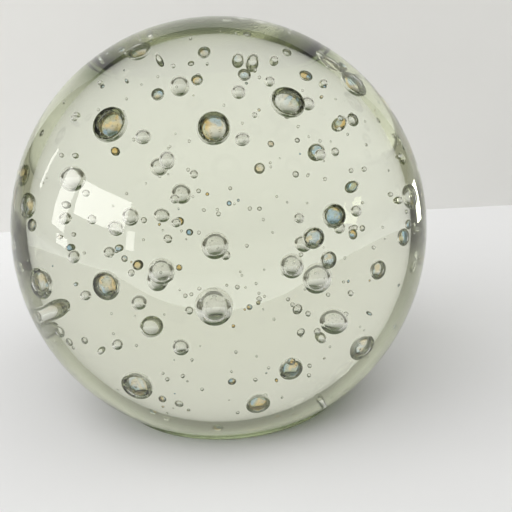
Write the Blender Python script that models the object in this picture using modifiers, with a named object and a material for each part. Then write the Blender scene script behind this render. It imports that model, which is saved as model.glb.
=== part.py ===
"""Paperweight: a hand-made ball of pale green glass, full of air bubbles, on a ground flat base.

The ball is built the way it is blown: four gathers of glass, one over the other, each with a neck that runs
down to the base, where the neck was cut through and ground flat. Air bubbles lie between the gathers.
Every gather is a solid of revolution that is then narrowed from front to back and leaned a little backwards,
because the ball sagged that way while it was soft. Metres, +Z up. The origin lies on the base's plane, under
the ball's middle. The front is -Y.
"""

from math import acos, asin, ceil, cos, degrees, pi, radians, sin, sqrt
from random import Random

import bmesh
import bpy
from mathutils import Matrix, Vector

MM = 0.001

# Driving dimensions
BALL_RADIUS = 60 * MM
BALL_CENTRE_HEIGHT = 50.6 * MM  # below the radius, because the underside is ground away
DEPTH_SHARE = 0.88  # front to back, as a share of the width
LEAN = 0.08  # how far back each level moves, as a share of its height above the ball's middle
FOOT_RADIUS = 34 * MM
FOOT_FILLET = 1 * MM  # the hollow corner between the foot and the ball
BASE_CHAMFER = 0.5 * MM
GATHER_GAP = 0.35 * MM  # stands for the fused join of two gathers, before the narrowing

# Each gather: name, radius of its round part, radius of its neck, fillet between them, segments round it
GATHERS = (
    ("first_gather", 18 * MM, 6 * MM, 6 * MM, 24),
    ("second_gather", 33 * MM, 12.5 * MM, 7 * MM, 32),
    ("third_gather", 48 * MM, 19 * MM, 8 * MM, 36),
    ("outer_gather", BALL_RADIUS, FOOT_RADIUS, FOOT_FILLET, 52),
)

# The main bubbles on the surface of each inner gather: turn to the right from the front and tilt up from
# the ball's middle, both in degrees and before the lean, and the bubble's radius in millimetres
MAIN_BUBBLES = {
    "first_gather": (
        (-5, 5, 3.0),
    ),
    "second_gather": (
        (-40, 20, 2.0),
        (-25, 0, 3.0),
        (-5, -15, 4.5),
        (40, -10, 3.5),
        (60, -35, 3.0),
    ),
    "third_gather": (
        (-80, 70, 3.0),
        (-75, 15, 3.0),
        (-65, -5, 4.0),
        (-45, 45, 4.5),
        (-35, 0, 3.5),
        (-35, -35, 4.0),
        (0, 45, 4.0),
        (10, -45, 3.0),
        (20, -30, 3.0),
        (35, 15, 3.0),
        (35, 50, 4.0),
        (50, -30, 3.5),
        (75, 10, 3.0),
        (85, 45, 3.5),
    ),
}

# More bubbles lie at random over each gather, clear of the main ones and of each other
SCATTERED = {"first_gather": 2, "second_gather": 6, "third_gather": 8}
SCATTERED_SIZES = (1.8, 2.8)  # radii in millimetres
TILT_LIMITS = (-45, 80)  # degrees, which keeps the bubbles off the neck
BUBBLE_SPACING = 1.5  # least glass between two bubbles, in millimetres
SEED = 7

BUBBLE_SEGMENTS = 10  # round a bubble's middle; it has half as many rings
BASE_RING_STEP = 9 * MM  # largest step between rings of points across the ground base

GLASS_COLOUR = (0.80, 0.86, 0.76, 1.0)
GLASS_ROUGHNESS = 0.02
GLASS_IOR = 1.51


def clear_scene():
    for obj in list(bpy.data.objects):
        bpy.data.objects.remove(obj)


def new_collection(name):
    collection = bpy.data.collections.new(name)
    bpy.context.scene.collection.children.link(collection)
    return collection


def glass_material(name, shade):
    """Clear glass; shade deepens the green a little from one gather to the next."""
    material = bpy.data.materials.new(name)
    material.use_nodes = True
    shader = material.node_tree.nodes["Principled BSDF"]
    colour = [channel * shade for channel in GLASS_COLOUR[:3]] + [1.0]
    shader.inputs["Base Color"].default_value = colour
    shader.inputs["Roughness"].default_value = GLASS_ROUGHNESS
    shader.inputs["Metallic"].default_value = 0.0
    shader.inputs["IOR"].default_value = GLASS_IOR
    shader.inputs["Transmission Weight"].default_value = 1.0
    return material


def arc(centre, radius, start, end, step):
    """Points on an arc in the XZ plane, from the start angle to the end angle, measured from +X."""
    count = max(2, ceil(abs(end - start) / step))
    angles = [start + (end - start) * i / count for i in range(count + 1)]
    return [(centre[0] + radius * cos(a), centre[1] + radius * sin(a)) for a in angles]


def gather_outline(radius, neck, fillet, segments):
    """A gather's outer side, from its top on the axis down its round part and its neck to the base."""
    reach = radius + fillet
    corner = (neck + fillet, BALL_CENTRE_HEIGHT - sqrt(reach**2 - (neck + fillet) ** 2))
    meeting = -acos((neck + fillet) / reach)
    step = 2 * pi / segments
    centre = (0, BALL_CENTRE_HEIGHT)
    upper = arc(centre, radius, pi / 2, 0, step)
    lower = arc(centre, radius, 0, meeting, step)
    hollow = arc(corner, fillet, meeting + pi, pi, step * 3)
    return upper + lower[1:] + hollow[1:] + [(neck, 0)]


def chamfered(outline):
    """The outline with its last corner, where the foot meets the base, cut off at 45 degrees."""
    x, z = outline[-1]
    return outline[:-1] + [(x, z + BASE_CHAMFER), (x - BASE_CHAMFER, z)]


def across_base(start, end):
    """Points between two radii on the ground base, so that its faces stay small."""
    count = ceil(abs(end - start) / BASE_RING_STEP)
    return [(start + (end - start) * i / count, 0) for i in range(1, count)]


def gather_profile(index):
    """The closed half section of one gather: outer side down, base inwards, inner side up to the axis."""
    _, radius, neck, fillet, segments = GATHERS[index]
    outer = gather_outline(radius, neck, fillet, segments)
    if index == len(GATHERS) - 1:
        outer = chamfered(outer)
    if index == 0:
        return outer + across_base(outer[-1][0], 0) + [(0, 0)]
    _, radius, neck, fillet, segments = GATHERS[index - 1]
    inner = gather_outline(radius + GATHER_GAP, neck + GATHER_GAP, fillet - GATHER_GAP, segments)
    return outer + across_base(outer[-1][0], inner[-1][0]) + inner[::-1]


def turned(name, profile, segments, collection):
    """A solid of revolution about +Z, from a profile that runs down its outer side."""
    mesh = bpy.data.meshes.new(name)
    points = [(x, 0, z) for x, z in profile]
    edges = [(i, i + 1) for i in range(len(points) - 1)]
    mesh.from_pydata(points, edges, [])
    obj = bpy.data.objects.new(name, mesh)
    collection.objects.link(obj)
    screw = obj.modifiers.new("turn", "SCREW")
    screw.steps = segments
    screw.render_steps = segments
    screw.use_merge_vertices = True
    screw.merge_threshold = 0.00001
    screw.use_smooth_shade = True
    return obj


def lean(obj, frame):
    """Hangs the object on the frame with the narrowing and the lean, which keep level planes level."""
    obj.parent = frame
    obj.matrix_parent_inverse = Matrix((
        (1, 0, 0, 0),
        (0, DEPTH_SHARE, LEAN, -LEAN * BALL_CENTRE_HEIGHT),
        (0, 0, 1, 0),
        (0, 0, 0, 1),
    ))


def bubble_place(turn, tilt, radius):
    turn, tilt = radians(turn), radians(tilt)
    flat = radius * cos(tilt)
    return Vector((flat * sin(turn), -flat * cos(turn), BALL_CENTRE_HEIGHT + radius * sin(tilt)))


def spread_bubbles(main, count, radius, rng):
    """The main bubbles on a round of this radius, with more at random over it, each clear of the others."""
    bubbles = list(main)
    while len(bubbles) < len(main) + count:
        turn = rng.uniform(-180, 180)
        tilt = degrees(asin(rng.uniform(*(sin(radians(limit)) for limit in TILT_LIMITS))))
        size = rng.uniform(*SCATTERED_SIZES)
        place = bubble_place(turn, tilt, radius)
        if all(
            (place - bubble_place(*other[:2], radius)).length > (size + other[2] + BUBBLE_SPACING) * MM
            for other in bubbles
        ):
            bubbles.append((turn, tilt, size))
    return bubbles


def bubble_cutter(gather, radius, bubbles, collection):
    """One object holding every bubble on a gather's surface, each with its poles square to that surface."""
    builder = bmesh.new()
    for turn, tilt, size in bubbles:
        place = bubble_place(turn, tilt, radius)
        outward = place - Vector((0, 0, BALL_CENTRE_HEIGHT))
        matrix = outward.to_track_quat("Z", "Y").to_matrix().to_4x4()
        matrix.translation = place
        bmesh.ops.create_uvsphere(
            builder,
            u_segments=BUBBLE_SEGMENTS,
            v_segments=BUBBLE_SEGMENTS // 2 + 1,
            radius=size * MM,
            matrix=matrix,
        )
    mesh = bpy.data.meshes.new(gather + "_bubbles")
    builder.to_mesh(mesh)
    builder.free()
    obj = bpy.data.objects.new(mesh.name, mesh)
    collection.objects.link(obj)
    obj.hide_render = True
    obj.display_type = "WIRE"
    return obj


def cut(obj, cutter):
    """Opens the cutter's bubbles as pits in the object's surface."""
    modifier = obj.modifiers.new(cutter.name, "BOOLEAN")
    modifier.operation = "DIFFERENCE"
    modifier.solver = "EXACT"
    modifier.object = cutter


def build():
    clear_scene()
    parts = new_collection("paperweight")
    cutters = new_collection("bubble_cutters")
    frame = bpy.data.objects.new("leaning_frame", None)
    parts.objects.link(frame)
    gathers = []
    for index, (name, _, _, _, segments) in enumerate(GATHERS):
        obj = turned(name, gather_profile(index), segments, parts)
        lean(obj, frame)
        obj.data.materials.append(glass_material(name + "_glass", 1 - 0.03 * index))
        gathers.append(obj)
    rng = Random(SEED)
    for index, (name, radius, _, _, _) in enumerate(GATHERS[:-1]):
        bubbles = spread_bubbles(MAIN_BUBBLES[name], SCATTERED[name], radius, rng)
        cutter = bubble_cutter(name, radius, bubbles, cutters)
        lean(cutter, frame)
        cut(gathers[index], cutter)
        cut(gathers[index + 1], cutter)


build()
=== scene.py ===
from math import acos, asin, cos, degrees, pi, radians, sin, sqrt, tan
from random import Random

import bmesh
import bpy
from mathutils import Matrix, Vector, noise


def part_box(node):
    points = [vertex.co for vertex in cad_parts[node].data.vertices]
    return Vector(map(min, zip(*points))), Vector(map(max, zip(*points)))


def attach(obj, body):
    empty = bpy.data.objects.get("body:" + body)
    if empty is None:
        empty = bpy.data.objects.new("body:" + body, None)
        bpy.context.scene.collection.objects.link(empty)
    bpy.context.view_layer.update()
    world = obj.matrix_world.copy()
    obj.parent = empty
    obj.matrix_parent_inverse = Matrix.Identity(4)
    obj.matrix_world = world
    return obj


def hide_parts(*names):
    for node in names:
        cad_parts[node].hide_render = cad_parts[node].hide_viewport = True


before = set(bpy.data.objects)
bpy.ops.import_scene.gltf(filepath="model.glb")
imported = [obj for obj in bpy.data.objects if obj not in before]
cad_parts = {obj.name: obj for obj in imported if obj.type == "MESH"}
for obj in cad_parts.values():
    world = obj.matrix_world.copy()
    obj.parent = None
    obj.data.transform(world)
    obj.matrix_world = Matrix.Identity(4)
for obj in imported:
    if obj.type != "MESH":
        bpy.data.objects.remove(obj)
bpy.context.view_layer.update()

MM = 0.001

# The ball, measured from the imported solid.
low, high = (Vector(corner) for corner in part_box("outer_gather"))
RADIUS = (high.x - low.x) / 2
CENTRE = Vector(((low.x + high.x) / 2, (low.y + high.y) / 2, high.z - RADIUS))
FOOT_RADIUS = 34 * MM
FOOT_FILLET = 1 * MM
BASE_CHAMFER = 0.5 * MM
AROUND = 192  # faces round the skin
RINGS = 110  # rings of faces up the round part
FILLET_RINGS = 6
RIPPLE = 0.12 * MM  # how far the hand-shaped surface dips below a true ball
DEPTH_SHARE = 0.88  # front to back, as a share of the width
LEAN = 0.08  # how far back each level moves, as a share of its height above the ball's middle

# The main bubbles as (turn, tilt, radius), in degrees and millimetres, on rounds about the ball's middle.
# Turn runs to the right from the front, and tilt runs up from the middle.
MAIN_BUBBLES = {
    18 * MM: (
        (-5, 5, 3.0),
    ),
    33 * MM: (
        (-40, 20, 2.0), (-25, 0, 3.0), (-5, -15, 4.5), (40, -10, 3.5), (60, -35, 3.0),
    ),
    48 * MM: (
        (-80, 70, 3.0), (-75, 15, 3.0), (-65, -5, 4.0), (-45, 45, 4.5), (-35, 0, 3.5), (-35, -35, 4.0),
        (0, 45, 4.0), (10, -45, 3.0), (20, -30, 3.0), (35, 15, 3.0), (35, 50, 4.0), (50, -30, 3.5),
        (75, 10, 3.0), (85, 45, 3.5),
    ),
}
# More bubbles at random over each round: how many, and their least and greatest radius in millimetres. The
# solids hold the main and the larger ones too, from the same seed.
LARGER_BUBBLES = {18 * MM: 2, 33 * MM: 6, 48 * MM: 8}
LARGER_SIZES = (1.8, 2.8)
SMALLER_BUBBLES = {18 * MM: 2, 33 * MM: 24, 48 * MM: 62, 57 * MM: 14}
SMALLER_SIZES = (0.7, 1.8)
TILT_LIMITS = (-45, 80)  # degrees
BUBBLE_SPACING = 1.5  # least glass between two of the larger bubbles, in millimetres
SMALL_SPACING = 0.3  # least glass round a smaller bubble or a seed, in millimetres
BUBBLE_SEED = 7

SEEDS = 300
SEED_REACH = 56 * MM  # farthest middle of a seed from the ball's middle
SEED_SIZES = (0.22, 1.1)  # radii in millimetres
GLASS_UNDER_SEEDS = 3 * MM
SKIN_OVER_SEEDS = 1 * MM
FORM_SEED = 11  # for how far each bubble is out of round, and for the places of the seeds

GLASS_IOR = 1.51
GLASS_TINT = (0.66, 0.72, 0.34)
GLASS_DENSITY = 4.5
# A darker green painted on the foot as shade, for the dark band the glass shows low down by its base.
FOOT_SHADE_GREEN = (0.60, 0.74, 0.50)
# Painted colours for the rainbow light that bubbles near the skin split like prisms.
FIRE_GOLD = (1.0, 0.72, 0.30)
FIRE_BLUE = (0.50, 0.74, 1.0)
TABLE_COLOUR = (0.80, 0.805, 0.825)
BACKDROP_COLOUR = (0.80, 0.80, 0.79)

TABLE_REACH = 3.0
TABLE_TOP = -0.2 * MM
BACKDROP_BEHIND = 160 * MM
BACKDROP_TURN = radians(-2.85)
BACKDROP_ENDS = (-170 * MM, 205 * MM)
BACKDROP_TOP = 230 * MM
LAMP_DISTANCE = 1.2

CAMERA_DISTANCE = 4 * RADIUS
CAMERA_ELEVATION = radians(19)
CAMERA_ROLL = radians(-3.2)
CAMERA_SENSOR = 36  # millimetres
CAMERA_LENS = 57.09375  # millimetres
CAMERA_AIM = CENTRE + Vector((9.9 * MM, 0, -9.4 * MM))


def place(turn, tilt, reach):
    """The point at this turn and tilt, `reach` from the ball's middle."""
    turn, tilt = radians(turn), radians(tilt)
    return CENTRE + reach * Vector((cos(tilt) * sin(turn), -cos(tilt) * cos(turn), sin(tilt)))


def leaned(point):
    """The point once the ball is narrowed from front to back and leaned backwards."""
    off = point - CENTRE
    return CENTRE + Vector((off.x, DEPTH_SHARE * off.y + LEAN * off.z, off.z))


def ball_profile():
    """(radius, height) points from under the base, out and up to the top."""
    points = [(share * (FOOT_RADIUS - BASE_CHAMFER), 0.0) for share in (0.2, 0.4, 0.6, 0.8, 0.95, 1.0)]
    points.append((FOOT_RADIUS, BASE_CHAMFER))
    # The fillet touches the foot's side and the ball from outside both.
    fillet_x = FOOT_RADIUS + FOOT_FILLET
    fillet_z = CENTRE.z - sqrt((RADIUS + FOOT_FILLET) ** 2 - fillet_x ** 2)
    meet = acos((CENTRE.z - fillet_z) / (RADIUS + FOOT_FILLET))
    for step in range(FILLET_RINGS + 1):
        turn = pi - (pi / 2 - meet) * step / FILLET_RINGS
        points.append((fillet_x + FOOT_FILLET * cos(turn), fillet_z + FOOT_FILLET * sin(turn)))
    for step in range(1, RINGS):
        turn = meet + (pi - meet) * step / RINGS
        points.append((RADIUS * sin(turn), CENTRE.z - RADIUS * cos(turn)))
    return points


def ripple(point):
    """How far the hand-shaped surface lies inside a true ball here."""
    out = (point - CENTRE).normalized()
    level = noise.noise(out * 2.1 + Vector((3.1, 0.4, 7.7))) + 0.4 * noise.noise(out * 5.3)
    fade = min(1.0, max(0.0, (point.z - 4 * MM) / (10 * MM)))
    return RIPPLE * fade * (0.5 + 0.5 * level)


def ball_skin():
    """The outer skin as points and faces: the ball, its foot and its flat ground base."""
    points, faces = [], []
    profile = ball_profile()
    for radius, height in profile:
        for step in range(AROUND):
            turn = 2 * pi * step / AROUND
            point = Vector((CENTRE.x + radius * cos(turn), CENTRE.y + radius * sin(turn), height))
            points.append(point + (CENTRE - point).normalized() * ripple(point))
    for ring in range(len(profile) - 1):
        for step in range(AROUND):
            near, far = ring * AROUND + step, ring * AROUND + (step + 1) % AROUND
            faces.append((near, far, far + AROUND, near + AROUND))
    bottom, top, last = len(points), len(points) + 1, (len(profile) - 1) * AROUND
    points.append(Vector((CENTRE.x, CENTRE.y, 0)))
    crown = CENTRE + Vector((0, 0, RADIUS))
    points.append(crown - Vector((0, 0, ripple(crown))))
    for step in range(AROUND):
        after = (step + 1) % AROUND
        faces.append((bottom, after, step))
        faces.append((top, last + step, last + after))
    return points, faces


def round_bubble(fineness):
    """A unit bubble whose faces look inwards, at the air inside it."""
    mesh = bmesh.new()
    bmesh.ops.create_icosphere(mesh, subdivisions=fineness, radius=1)
    points = [vert.co.copy() for vert in mesh.verts]
    faces = [tuple(vert.index for vert in reversed(face.verts)) for face in mesh.faces]
    mesh.free()
    return points, faces


def add_bubble(skin, shape, rng, middle, radius):
    """One bubble, a little out of round."""
    squeeze = 1 + rng.uniform(-0.05, 0.12)
    axis = Vector((rng.gauss(0, 1), rng.gauss(0, 1), rng.gauss(0, 1))).normalized()
    size = Matrix.Diagonal((radius / sqrt(squeeze), radius / sqrt(squeeze), radius * squeeze))
    form = Vector((0, 0, 1)).rotation_difference(axis).to_matrix() @ size
    points, faces = skin
    start = len(points)
    points.extend(middle + form @ point for point in shape[0])
    faces.extend(tuple(start + index for index in face) for face in shape[1])


def spread_bubbles(bubbles, count, reach, sizes, spacing, rng):
    """Adds bubbles at random over the round of this radius, each clear of the others on it."""
    wanted = len(bubbles) + count
    while len(bubbles) < wanted:
        turn = rng.uniform(-180, 180)
        tilt = degrees(asin(rng.uniform(*(sin(radians(limit)) for limit in TILT_LIMITS))))
        size = rng.uniform(*sizes)
        middle = place(turn, tilt, reach)
        if all(
            (middle - place(*other[:2], reach)).length > (size + other[2] + spacing) * MM
            for other in bubbles
        ):
            bubbles.append((turn, tilt, size))


def all_bubbles():
    """The bubbles on each round: those that the solids hold, and then the smaller ones."""
    rng = Random(BUBBLE_SEED)
    rounds = {reach: list(MAIN_BUBBLES.get(reach, ())) for reach in SMALLER_BUBBLES}
    for reach, count in LARGER_BUBBLES.items():
        spread_bubbles(rounds[reach], count, reach, LARGER_SIZES, BUBBLE_SPACING, rng)
    for reach, count in SMALLER_BUBBLES.items():
        spread_bubbles(rounds[reach], count, reach, SMALLER_SIZES, SMALL_SPACING, rng)
    return rounds


def scatter_seeds(rng, taken):
    """Small seeds of air in the room that the large bubbles leave."""
    seeds = []
    while len(seeds) < SEEDS:
        way = Vector((rng.gauss(0, 1), rng.gauss(0, 1), rng.gauss(0, 1))).normalized()
        middle = CENTRE + way * SEED_REACH * rng.random() ** 0.4
        radius = MM * min(SEED_SIZES[1], SEED_SIZES[0] + rng.expovariate(5))
        if middle.z < GLASS_UNDER_SEEDS + radius:
            continue
        if (middle - CENTRE).length + radius > RADIUS - SKIN_OVER_SEEDS:
            continue
        if all((middle - other).length > radius + size + SMALL_SPACING * MM for other, size in taken):
            taken.append((middle, radius))
            seeds.append((middle, radius))
    return seeds


def make_ball():
    rng = Random(FORM_SEED)
    skin = ball_skin()
    shapes = {fineness: round_bubble(fineness) for fineness in (2, 3, 4)}
    taken = []
    for reach, bubbles in all_bubbles().items():
        for turn, tilt, radius in bubbles:
            middle = place(turn, tilt, reach)
            taken.append((middle, radius * MM))
            add_bubble(skin, shapes[4 if radius >= 1.5 else 3], rng, middle, radius * MM)
    for middle, radius in scatter_seeds(rng, taken):
        add_bubble(skin, shapes[2], rng, middle, radius)
    points = [leaned(point) for point in skin[0]]
    data = bpy.data.meshes.new("glass_ball")
    data.from_pydata(points, [], skin[1])
    data.shade_smooth()
    ball = bpy.data.objects.new("glass_ball", data)
    bpy.context.scene.collection.objects.link(ball)
    return ball


class Nodes:
    """A short way to write a node tree."""

    def __init__(self, owner):
        owner.use_nodes = True
        self.tree = owner.node_tree
        self.tree.nodes.clear()

    def add(self, kind, **values):
        node = self.tree.nodes.new(kind)
        for name, value in values.items():
            setattr(node, name, value)
        return node

    def put(self, node, socket, value):
        if isinstance(value, bpy.types.NodeSocket):
            self.tree.links.new(value, node.inputs[socket])
        else:
            node.inputs[socket].default_value = value

    def maths(self, operation, first, second=0.0):
        node = self.add("ShaderNodeMath", operation=operation)
        self.put(node, 0, first)
        self.put(node, 1, second)
        return node.outputs[0]

    def remap(self, value, low, high, to_low, to_high):
        node = self.add("ShaderNodeMapRange")
        for socket, number in zip(range(5), (value, low, high, to_low, to_high)):
            self.put(node, socket, number)
        return node.outputs[0]

    def step(self, value, start, end):
        """A soft step from 0 at `start` to 1 at `end`."""
        node = self.add("ShaderNodeMapRange", interpolation_type="SMOOTHSTEP")
        for socket, number in zip(range(3), (value, start, end)):
            self.put(node, socket, number)
        return node.outputs[0]

    def blend(self, share, first, second):
        node = self.add("ShaderNodeMix", data_type="RGBA")
        self.put(node, 0, share)
        for socket, colour in ((6, first), (7, second)):
            self.put(node, socket, (*colour, 1.0) if isinstance(colour, tuple) else colour)
        return node.outputs[2]


def foot_shade_share(n, split):
    """1 on the foot, where a darker green is painted as shade, falling to 0 above it."""
    return n.step(split.outputs["Z"], 5 * MM, 1.5 * MM)


def fire_colour(n, where, split):
    """White, with gold and blue painted where bubbles near the skin split the light like prisms: painted
    colour for that split light.
    """
    height = n.maths("SUBTRACT", split.outputs["Z"], CENTRE.z)
    depth = n.maths("SUBTRACT", split.outputs["Y"], n.maths("MULTIPLY", height, LEAN))
    upright = n.add("ShaderNodeCombineXYZ")
    for socket, value in zip(range(3), (split.outputs["X"], n.maths("DIVIDE", depth, DEPTH_SHARE), height)):
        n.put(upright, socket, value)
    reach = n.add("ShaderNodeVectorMath", operation="LENGTH")
    n.put(reach, 0, upright.outputs[0])
    outer = n.step(reach.outputs["Value"], 42 * MM, 48 * MM)
    below_skin = n.step(reach.outputs["Value"], 59.2 * MM, 58.6 * MM)
    patches = n.add("ShaderNodeTexNoise")
    n.put(patches, "Vector", where)
    n.put(patches, "Scale", 70.0)
    chosen = n.step(patches.outputs["Fac"], 0.46, 0.56)
    bands = n.add("ShaderNodeTexNoise")
    n.put(bands, "Vector", where)
    n.put(bands, "Scale", 260.0)
    fire = n.blend(n.step(bands.outputs["Fac"], 0.45, 0.55), FIRE_GOLD, FIRE_BLUE)
    share = n.maths("MULTIPLY", n.maths("MULTIPLY", outer, below_skin), chosen)
    return n.blend(share, (1.0, 1.0, 1.0), fire)


def glass_material():
    material = bpy.data.materials.new("bubbly_glass")
    n = Nodes(material)
    where = n.add("ShaderNodeTexCoord").outputs["Object"]
    split = n.add("ShaderNodeSeparateXYZ")
    n.put(split, 0, where)
    base = n.remap(split.outputs["Z"], 0.0003, 0.0007, 1.0, 0.0)
    smudge = n.add("ShaderNodeTexNoise")
    n.put(smudge, "Vector", where)
    n.put(smudge, "Scale", 90.0)
    n.put(smudge, "Detail", 4.0)
    haze = n.remap(smudge.outputs["Fac"], 0.45, 0.8, 0.0, 0.02)
    roughness = n.maths("ADD", haze, n.maths("MULTIPLY", base, 0.04))
    grain = n.add("ShaderNodeTexNoise")
    n.put(grain, "Vector", where)
    n.put(grain, "Scale", 1500.0)
    bump = n.add("ShaderNodeBump")
    n.put(bump, "Height", grain.outputs["Fac"])
    n.put(bump, "Strength", n.maths("MULTIPLY", base, 0.15))
    n.put(bump, "Distance", 0.0004)
    glass = n.add("ShaderNodeBsdfPrincipled")
    # Painted shade: a darker green on the foot; elsewhere white with the painted gold and blue.
    colour = n.blend(foot_shade_share(n, split), fire_colour(n, where, split), FOOT_SHADE_GREEN)
    n.put(glass, "Base Color", colour)
    n.put(glass, "Roughness", roughness)
    n.put(glass, "IOR", GLASS_IOR)
    n.put(glass, "Transmission Weight", 1.0)
    n.put(glass, "Normal", bump.outputs["Normal"])
    tint = n.add("ShaderNodeVolumeAbsorption")
    n.put(tint, "Color", (*GLASS_TINT, 1.0))
    n.put(tint, "Density", GLASS_DENSITY)
    out = n.add("ShaderNodeOutputMaterial")
    n.put(out, "Surface", glass.outputs[0])
    n.put(out, "Volume", tint.outputs[0])
    return material


def clear_from_behind(n, shader):
    """The shader on the front side, and nothing on the other, so that a view from behind passes through."""
    mix = n.add("ShaderNodeMixShader")
    n.put(mix, 0, n.add("ShaderNodeNewGeometry").outputs["Backfacing"])
    n.put(mix, 1, shader)
    n.put(mix, 2, n.add("ShaderNodeBsdfTransparent").outputs[0])
    return mix.outputs[0]


def plain_material(name, colour, roughness, one_sided=False):
    material = bpy.data.materials.new(name)
    n = Nodes(material)
    mottle = n.add("ShaderNodeTexNoise")
    n.put(mottle, "Vector", n.add("ShaderNodeTexCoord").outputs["Object"])
    n.put(mottle, "Scale", 60.0)
    darker = tuple(channel * 0.99 for channel in colour)
    surface = n.add("ShaderNodeBsdfPrincipled")
    n.put(surface, "Base Color", n.blend(mottle.outputs["Fac"], darker, colour))
    n.put(surface, "Roughness", roughness)
    n.put(surface, "Specular IOR Level", 0.2)
    shader = surface.outputs[0]
    if one_sided:
        shader = clear_from_behind(n, shader)
    out = n.add("ShaderNodeOutputMaterial")
    n.put(out, "Surface", shader)
    return material


def flat(name, corners, material):
    data = bpy.data.meshes.new(name)
    data.from_pydata([tuple(corner) for corner in corners], [], [(0, 1, 2, 3)])
    data.materials.append(material)
    sheet = bpy.data.objects.new(name, data)
    bpy.context.scene.collection.objects.link(sheet)
    return sheet


def around(azimuth, elevation, distance):
    """A point this far from the ball, with the azimuth counted to the right from the front."""
    azimuth, elevation = radians(azimuth), radians(elevation)
    way = Vector((sin(azimuth) * cos(elevation), -cos(azimuth) * cos(elevation), sin(elevation)))
    return CENTRE + distance * way


def lit_pane(name, azimuths, elevations, strength):
    """A flat lamp facing the ball, across these directions as the ball sees them."""
    middle = around(sum(azimuths) / 2, sum(elevations) / 2, LAMP_DISTANCE)
    size_x = LAMP_DISTANCE * radians(azimuths[1] - azimuths[0])
    size_y = LAMP_DISTANCE * radians(elevations[1] - elevations[0])
    data = bpy.data.lights.new(name, "AREA")
    data.shape = "RECTANGLE"
    data.size = size_x
    data.size_y = size_y
    # A flat area light of this power has the radiance `strength`.
    data.energy = strength * pi * size_x * size_y
    data.color = (1.0, 0.99, 0.97)
    lamp = bpy.data.objects.new(name, data)
    lamp.location = middle
    lamp.rotation_euler = (CENTRE - middle).to_track_quat("-Z", "Y").to_euler()
    bpy.context.scene.collection.objects.link(lamp)
    return lamp


ball = make_ball()
ball.data.materials.append(glass_material())
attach(ball, "root")
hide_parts("first_gather", "second_gather", "third_gather", "outer_gather")

floor = flat("table", [
    (-TABLE_REACH, -TABLE_REACH, TABLE_TOP), (TABLE_REACH, -TABLE_REACH, TABLE_TOP),
    (TABLE_REACH, TABLE_REACH, TABLE_TOP), (-TABLE_REACH, TABLE_REACH, TABLE_TOP),
], plain_material("pale_table", TABLE_COLOUR, 0.6))

left, right = ((end, BACKDROP_BEHIND + end * tan(BACKDROP_TURN)) for end in BACKDROP_ENDS)
backdrop = flat("backdrop", [
    (*left, TABLE_TOP), (*right, TABLE_TOP), (*right, BACKDROP_TOP), (*left, BACKDROP_TOP),
], plain_material("pale_backdrop", BACKDROP_COLOUR, 0.9, one_sided=True))

# Windows that only mirror in the skin: light that has crossed the glass doesn't meet them.
for name, azimuths, elevations, strength in (
    ("window_main", (-78, -47), (14, 28), 6.0),
    ("window_side", (-92, -82), (5, 27), 5.0),
    ("window_side_low", (-87, -79), (0, 3.5), 5.0),
    ("window_far", (-111, -109), (10, 24), 4.0),
):
    lit_pane(name, azimuths, elevations, strength).visible_transmission = False
# This one is also seen through the glass.
lit_pane("window_inner", (-45, -41), (7, 15), 5.0)

# Soft lamps that light the table and the backdrop and don't mirror in the glass.
for name, azimuths, elevations, strength in (
    ("soft_left", (-95, -25), (35, 80), 1.6),
    ("soft_right", (15, 85), (40, 80), 1.5),
):
    lamp = lit_pane(name, azimuths, elevations, strength)
    lamp.visible_glossy = False
    lamp.visible_transmission = False

# The room: plain side walls, and a front that is grey low down, dark above that and pale towards the top.
world = bpy.data.worlds.new("room")
bpy.context.scene.world = world
room = Nodes(world)
way = room.add("ShaderNodeSeparateXYZ")
room.put(way, 0, room.add("ShaderNodeTexCoord").outputs["Generated"])
height = way.outputs["Z"]
front = room.step(way.outputs["Y"], -0.42, -0.62)
side_walls = room.blend(room.step(height, 0.15, 0.50), (0.13, 0.125, 0.10), (0.26, 0.26, 0.24))
low_front = room.blend(room.step(height, 0.13, 0.20), (0.40, 0.39, 0.36), (0.020, 0.015, 0.006))
front_walls = room.blend(room.step(height, 0.30, 0.42), low_front, (0.30, 0.30, 0.27))
front_walls = room.blend(room.step(height, 0.45, 0.74), front_walls, (0.66, 0.66, 0.63))
background = room.add("ShaderNodeBackground")
room.put(background, "Color", room.blend(front, side_walls, front_walls))
room.put(background, "Strength", 1.0)
room_out = room.add("ShaderNodeOutputWorld")
room.put(room_out, "Surface", background.outputs[0])

camera_data = bpy.data.cameras.new("camera")
camera_data.sensor_width = CAMERA_SENSOR
camera_data.lens = CAMERA_LENS
camera = bpy.data.objects.new("camera", camera_data)
camera.location = CENTRE + CAMERA_DISTANCE * Vector((0, -cos(CAMERA_ELEVATION), sin(CAMERA_ELEVATION)))
look = (CAMERA_AIM - camera.location).to_track_quat("-Z", "Y").to_matrix().to_4x4()
camera.rotation_euler = (look @ Matrix.Rotation(CAMERA_ROLL, 4, "Z")).to_euler()
bpy.context.scene.collection.objects.link(camera)
bpy.context.scene.camera = camera

scene = bpy.context.scene
scene.view_settings.view_transform = "Standard"
scene.cycles.max_bounces = 32
scene.cycles.transmission_bounces = 32
scene.cycles.glossy_bounces = 8
scene.cycles.diffuse_bounces = 4
